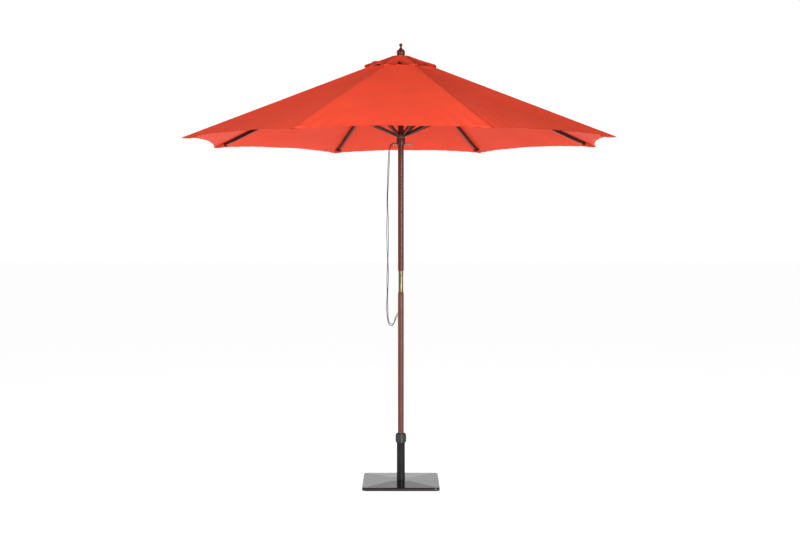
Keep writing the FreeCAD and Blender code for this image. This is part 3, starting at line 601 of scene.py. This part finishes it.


# ---- materials of the CAD pieces ---------------------------------------------------
# the upper pole's wood is darker and redder than the lower's: painted shade and red glow from the
# canopy over it
upper_wood_painted_shade = wood("upper_pole_wood", (0.040, 0.0085, 0.006), (0.085, 0.019, 0.013))
lower_wood = wood("lower_pole_wood", (0.062, 0.020, 0.013), (0.115, 0.038, 0.025))
turned_wood = wood("turned_wood", (0.040, 0.010, 0.007), (0.090, 0.022, 0.015), gloss=0.22)
brass = metal("brass", (0.19, 0.155, 0.095), 0.36, tarnish=(0.08, 0.066, 0.04))
bright = metal("bright_wire", (0.30, 0.28, 0.27), 0.3)
zinc = metal("zinc_steel", (0.4, 0.4, 0.4), 0.4)
base_paint = painted("base_paint", (0.005, 0.0055, 0.006), 0.15, shine=0.5)
tube_paint = painted("tube_paint", (0.010, 0.010, 0.011), 0.24, shine=0.09)
plastic = painted("collar_plastic", (0.010, 0.010, 0.011), 0.4, grain=1500.0, shine=0.4)
rubber = painted("foot_rubber", (0.015, 0.015, 0.015), 0.8, shine=0.2)
concrete = painted("concrete", (0.35, 0.34, 0.32), 0.9, grain=300.0, shine=0.2)

for name, material in (
    ("upper_pole", upper_wood_painted_shade), ("lower_pole", lower_wood), ("crown_hub", turned_wood),
    ("runner", turned_wood), ("finial", turned_wood), ("cord_bead", turned_wood),
    ("coupling_sleeve", brass), ("coupling_spigot", brass), ("sleeve_pin", brass),
    ("pulley_wheel", brass), ("finial_washer", brass), ("crown_wire", bright),
    ("runner_wire", bright), ("lock_pin", bright), ("tube_plug", zinc), ("base_bolt", zinc),
    ("finial_stud", zinc), ("pulley_axle", zinc), ("base_pan", base_paint),
    ("base_cover", base_paint), ("base_weight", concrete), ("base_feet", rubber),
    ("base_tube", tube_paint), ("collet", plastic), ("clamp_collar", plastic),
):
    give(nodes[name], material)

# the ribs and struts are one wood each, because its grain runs along them
RIB_DARK, RIB_LIGHT = (0.030, 0.009, 0.006), (0.075, 0.021, 0.014)
for rib in range(1, RIB_COUNT + 1):
    out = rib_directions(rib_angle(rib))[0]
    down = out * math.cos(RIB_FALL) - Vector((0, 0, math.sin(RIB_FALL)))
    rising = out * math.cos(STRUT_RISE) + Vector((0, 0, math.sin(STRUT_RISE)))
    give(nodes[f"rib_{rib}"], wood(f"rib_wood_{rib}", RIB_DARK, RIB_LIGHT, down))
    give(nodes[f"strut_{rib}"], wood(f"strut_wood_{rib}", RIB_DARK, RIB_LIGHT, rising))
    give(nodes[f"rib_pin_{rib}"], brass)


# ---- the wire ring round the runner ------------------------------------------------
def wire_ring(name, radius, height, thickness):
    """A ring of two twisted wires, drawn as one tube with a ridge that winds round it."""

    def ring_point(u, v):
        turn, around = 2 * math.pi * u, 2 * math.pi * v
        wobble = 0.0002 * math.sin(turn * 5)
        twisted = thickness * (1 + 0.18 * math.cos(2 * around + turn * 40))
        out = radius + wobble + twisted * math.cos(around)
        up = height + wobble + twisted * math.sin(around)
        point = Vector((math.cos(turn) * out, math.sin(turn) * out, up))
        return point, (turn * radius, around * thickness)

    ring = grid_mesh(name, even(128), even(12), ring_point, zinc)
    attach(ring, "runner")


wire_ring("runner_ring", radius=0.0278, height=2.1196, thickness=0.0013)


# ---- floor and light ---------------------------------------------------------------
FLOOR_REACH = 40
floor = bpy.data.objects.new("floor", bpy.data.meshes.new("floor"))
corners = [(x * FLOOR_REACH, y * FLOOR_REACH, 0) for x, y in ((-1, -1), (1, -1), (1, 1), (-1, 1))]
floor.data.from_pydata(corners, [], [(0, 1, 2, 3)])
scene.collection.objects.link(floor)
floor_paint = Shader("floor_paint")
floor_paint.set(base_color=(0.3, 0.3, 0.3, 1), roughness=0.7)
floor_paint.set(emission_color=(1, 1, 1, 1), emission_strength=0.9)
give(floor, floor_paint.material)

# white all round at eye level, and nearly dark overhead
world = bpy.data.worlds.new("studio")
scene.world = world
world.use_nodes = True
sky = world.node_tree
place = sky.nodes.new("ShaderNodeTexCoord")
split = sky.nodes.new("ShaderNodeSeparateXYZ")
dim = sky.nodes.new("ShaderNodeMapRange")
dim.interpolation_type = "SMOOTHSTEP"
dim.inputs["From Min"].default_value = 0.25
dim.inputs["From Max"].default_value = 0.38
dim.inputs["To Min"].default_value = 1.05
dim.inputs["To Max"].default_value = 0.03
sky.links.new(place.outputs["Generated"], split.inputs["Vector"])
sky.links.new(split.outputs["Z"], dim.inputs["Value"])
sky.links.new(dim.outputs["Result"], sky.nodes["Background"].inputs["Strength"])
sky.nodes["Background"].inputs["Color"].default_value = (1, 1, 1, 1)


def area_light(name, place, aim, size, power, lights=True, shines=True):
    """A rectangular lamp. lights says whether it lights surfaces, and shines whether it is
    seen mirrored in them."""
    lamp = bpy.data.lights.new(name, "AREA")
    lamp.shape = "RECTANGLE"
    lamp.size, lamp.size_y = size
    lamp.energy = power
    obj = bpy.data.objects.new(name, lamp)
    obj.location = place
    obj.rotation_euler = (Vector(aim) - Vector(place)).to_track_quat("-Z", "Y").to_euler()
    obj.visible_diffuse, obj.visible_glossy = lights, shines
    scene.collection.objects.link(obj)


# the key lights the cloth without a sheen, and the strip only makes the narrow highlight
# down the pole and the tube
area_light("key", (-0.1, -6.0, 2.35), (0, 0, 2.1), (2.6, 1.0), 600, shines=False)
area_light("strip", (2.5, -5.6, 1.4), (0, 0, 1.4), (0.5, 2.6), 420, lights=False)
area_light("back_left", (-3.4, 4.6, 2.5), (0, 0, 2.3), (1.6, 1.2), 30, shines=False)
area_light("tip", (-3.1, 1.1, 2.6), (-1.2, -0.2, 2.1), (0.7, 0.7), 40, shines=False)
